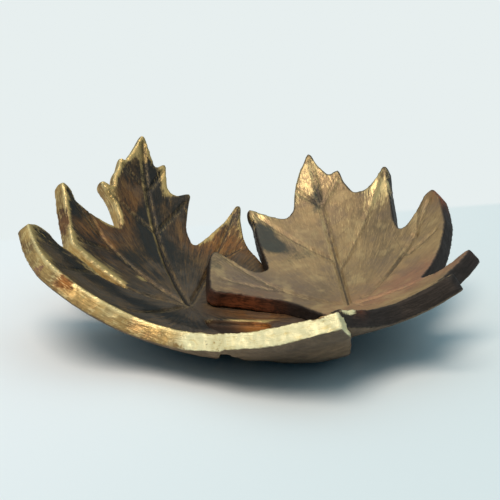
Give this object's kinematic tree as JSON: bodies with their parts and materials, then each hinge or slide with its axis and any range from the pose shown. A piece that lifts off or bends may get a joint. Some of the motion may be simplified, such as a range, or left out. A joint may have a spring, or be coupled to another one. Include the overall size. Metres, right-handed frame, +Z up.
{
  "type": "ring dish",
  "caption": "Small trinket dish shaped like overlapping maple leaves bent to a bowl, with toothed lobes, pressed veins, thick hand-cut edges and a flat foot.",
  "frame": {"origin": "on the axis of the left leaf's bowl, in the flat foot, on the surface that the dish stands on", "axes": "+Z up; +X to the right and +Y to the back, seen from the side where the notches of both leaves lie"},
  "size_m": [0.1278, 0.1214, 0.0453],
  "materials": {
    "left_leaf": "bronze patina rubbed with gold, gilded cut edges",
    "right_leaf": "bronze and copper patina rubbed with gold, dark cut edges"
  },
  "bodies": {
    "root": {"left_leaf": "left_leaf", "right_leaf": "right_leaf"}
  },
  "joints": []
}
